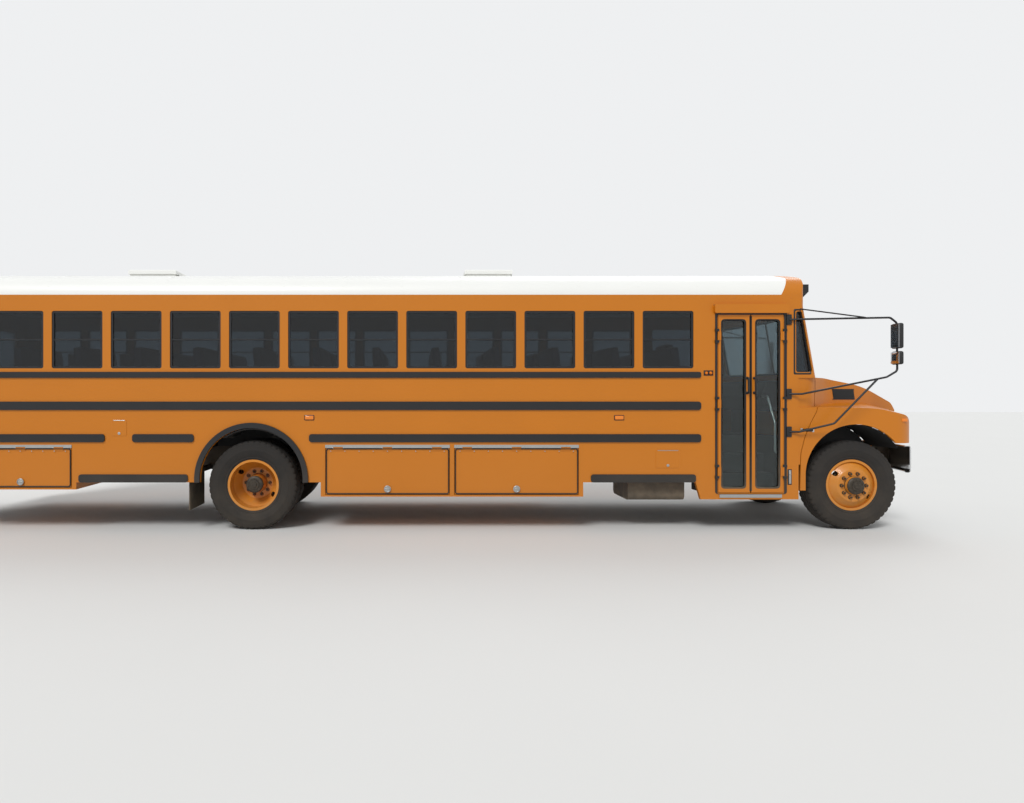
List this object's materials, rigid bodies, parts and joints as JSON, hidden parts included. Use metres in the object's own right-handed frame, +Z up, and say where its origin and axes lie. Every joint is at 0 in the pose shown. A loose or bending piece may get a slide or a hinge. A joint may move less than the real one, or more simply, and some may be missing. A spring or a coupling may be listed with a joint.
{
  "type": "school bus",
  "caption": "Long school bus with a tilting hood, double entrance doors, steered front wheels, twin rear wheels, underfloor luggage boxes and a hollow cabin with seats.",
  "frame": {"origin": "on the ground under the middle of the bus", "axes": "+X forward, +Y to the bus's left, +Z up"},
  "size_m": [12.0598, 3.05, 3.19],
  "materials": {
    "body_yellow": "gloss",
    "wheel_yellow": "gloss",
    "roof_white": "gloss",
    "trim_black": "satin",
    "chassis_black": "satin",
    "engine_grey": "rough",
    "bare_steel": "brushed",
    "bright_chrome": "polished",
    "black_plastic": "matte",
    "floor_rubber": "matte",
    "flap_rubber": "matte",
    "seat_vinyl": "satin",
    "tyre_rubber": "matte",
    "tinted_glass": "polished",
    "clear_glass": "polished",
    "lamp_red": "polished",
    "sign_red": "gloss"
  },
  "bodies": {
    "bus_body": {"chassis_frame": "chassis_black", "engine_block": "engine_grey", "driveline": "engine_grey", "front_axle": "chassis_black", "rear_axle": "chassis_black", "fuel_tank": "chassis_black", "exhaust": "bare_steel", "floor": "floor_rubber", "wheel_houses": "floor_rubber", "stepwell": "floor_rubber", "side_wall_left": "body_yellow", "side_wall_right": "body_yellow", "rear_wall": "body_yellow", "roof": "roof_white", "front_cap": "body_yellow", "front_frame": "body_yellow", "fixed_glass": "tinted_glass", "window_frames": "black_plastic", "bright_trim": "bare_steel", "rub_rails": "trim_black", "mud_flaps": "flap_rubber", "cowl": "body_yellow", "dashboard": "black_plastic", "seats": "seat_vinyl", "lamp_hoods": "trim_black", "lamp_lenses": "lamp_red", "front_bumper": "bright_chrome", "rear_bumper": "trim_black", "mirrors": "trim_black", "luggage_boxes_mid": "body_yellow", "luggage_boxes_rear": "body_yellow"},
    "hood": {"hood": "body_yellow", "grille": "black_plastic", "headlamps": "clear_glass"},
    "knuckle_left": {"knuckle_left": "chassis_black"},
    "knuckle_right": {"knuckle_right": "chassis_black"},
    "track_rod": {"tie_rod": "chassis_black"},
    "wheel_front_left": {"tyre_front_left": "tyre_rubber", "rim_front_left": "wheel_yellow"},
    "wheels_rear_left": {"tyres_rear_left": "tyre_rubber", "rims_rear_left": "wheel_yellow"},
    "wheel_front_right": {"tyre_front_right": "tyre_rubber", "rim_front_right": "wheel_yellow"},
    "wheels_rear_right": {"tyres_rear_right": "tyre_rubber", "rims_rear_right": "wheel_yellow"},
    "entrance_front": {"door_leaf_front": "body_yellow", "door_glass_front": "clear_glass"},
    "entrance_rear": {"door_leaf_rear": "body_yellow", "door_glass_rear": "clear_glass"},
    "emergency_exit": {"emergency_door": "body_yellow", "emergency_glass": "tinted_glass"},
    "luggage_door_middle_left": {"luggage_door_middle_left": "body_yellow"},
    "luggage_door_middle_right": {"luggage_door_middle_right": "body_yellow"},
    "luggage_door_front_left": {"luggage_door_front_left": "body_yellow"},
    "luggage_door_front_right": {"luggage_door_front_right": "body_yellow"},
    "luggage_door_rear_left": {"luggage_door_rear_left": "body_yellow"},
    "luggage_door_rear_right": {"luggage_door_rear_right": "body_yellow"},
    "hatch_front": {"hatch_lid_front": "roof_white"},
    "hatch_rear": {"hatch_lid_rear": "roof_white"},
    "stop_sign": {"stop_arm": "sign_red"}
  },
  "joints": [
    {"name": "steer_left", "type": "hinge", "parent": "bus_body", "child": "knuckle_left", "pos_m": [5.1, 0.94, 0.52], "axis": [0, 0, 1], "range_deg": [-40, 40]},
    {"name": "steer_right", "type": "hinge", "parent": "bus_body", "child": "knuckle_right", "pos_m": [5.1, -0.94, 0.52], "axis": [0, 0, 1], "range_deg": [-40, 40]},
    {"name": "track_rod_pin", "type": "hinge", "parent": "knuckle_left", "child": "track_rod", "pos_m": [4.95, 0.94, 0.4], "axis": [0, 0, 1], "range_deg": [-40, 40]},
    {"name": "roll_front_left", "type": "hinge", "parent": "knuckle_left", "child": "wheel_front_left", "pos_m": [5.1, 1.018, 0.52], "axis": [0, 1, 0], "continuous": true},
    {"name": "roll_rear_left", "type": "hinge", "parent": "bus_body", "child": "wheels_rear_left", "pos_m": [-1.91, 0.865, 0.52], "axis": [0, 1, 0], "continuous": true},
    {"name": "roll_front_right", "type": "hinge", "parent": "knuckle_right", "child": "wheel_front_right", "pos_m": [5.1, -1.018, 0.52], "axis": [0, 1, 0], "continuous": true},
    {"name": "roll_rear_right", "type": "hinge", "parent": "bus_body", "child": "wheels_rear_right", "pos_m": [-1.91, -0.865, 0.52], "axis": [0, 1, 0], "continuous": true},
    {"name": "hood_tilt", "type": "hinge", "parent": "bus_body", "child": "hood", "pos_m": [5.87, 0, 0.62], "axis": [0, 1, 0], "range_deg": [0, 45]},
    {"name": "entrance_front_hinge", "type": "hinge", "parent": "bus_body", "child": "entrance_front", "pos_m": [4.247, -1.235, 1.475], "axis": [0, 0, 1], "range_deg": [0, 90]},
    {"name": "entrance_rear_hinge", "type": "hinge", "parent": "bus_body", "child": "entrance_rear", "pos_m": [3.497, -1.235, 1.475], "axis": [0, 0, 1], "range_deg": [-90, 0]},
    {"name": "emergency_hinge", "type": "hinge", "parent": "bus_body", "child": "emergency_exit", "pos_m": [-5.94, -0.374, 1.79], "axis": [0, 0, 1], "range_deg": [0, 100]},
    {"name": "luggage_middle_left_hinge", "type": "hinge", "parent": "bus_body", "child": "luggage_door_middle_left", "pos_m": [-0.3345, 1.227, 0.962], "axis": [1, 0, 0], "range_deg": [0, 90]},
    {"name": "luggage_middle_right_hinge", "type": "hinge", "parent": "bus_body", "child": "luggage_door_middle_right", "pos_m": [-0.3345, -1.227, 0.962], "axis": [-1, 0, 0], "range_deg": [0, 90]},
    {"name": "luggage_front_left_hinge", "type": "hinge", "parent": "bus_body", "child": "luggage_door_front_left", "pos_m": [1.1605, 1.227, 0.962], "axis": [1, 0, 0], "range_deg": [0, 90]},
    {"name": "luggage_front_right_hinge", "type": "hinge", "parent": "bus_body", "child": "luggage_door_front_right", "pos_m": [1.1605, -1.227, 0.962], "axis": [-1, 0, 0], "range_deg": [0, 90]},
    {"name": "luggage_rear_left_hinge", "type": "hinge", "parent": "bus_body", "child": "luggage_door_rear_left", "pos_m": [-4.583, 1.227, 0.962], "axis": [1, 0, 0], "range_deg": [0, 90]},
    {"name": "luggage_rear_right_hinge", "type": "hinge", "parent": "bus_body", "child": "luggage_door_rear_right", "pos_m": [-4.583, -1.227, 0.962], "axis": [-1, 0, 0], "range_deg": [0, 90]},
    {"name": "hatch_front_hinge", "type": "hinge", "parent": "bus_body", "child": "hatch_front", "pos_m": [1.2355, 0, 3.1347], "axis": [0, 1, 0], "range_deg": [0, 75]},
    {"name": "hatch_rear_hinge", "type": "hinge", "parent": "bus_body", "child": "hatch_rear", "pos_m": [-3.0965, 0, 3.1347], "axis": [0, 1, 0], "range_deg": [0, 75]},
    {"name": "stop_sign_hinge", "type": "hinge", "parent": "bus_body", "child": "stop_sign", "pos_m": [3.464, 1.264, 1.64], "axis": [0, 0, -1], "range_deg": [0, 90]}
  ],
  "couplings": [
    {"joint": "steer_right", "follows": "steer_left", "ratio": 1},
    {"joint": "track_rod_pin", "follows": "steer_left", "ratio": -1},
    {"joint": "entrance_rear_hinge", "follows": "entrance_front_hinge", "ratio": -1}
  ]
}
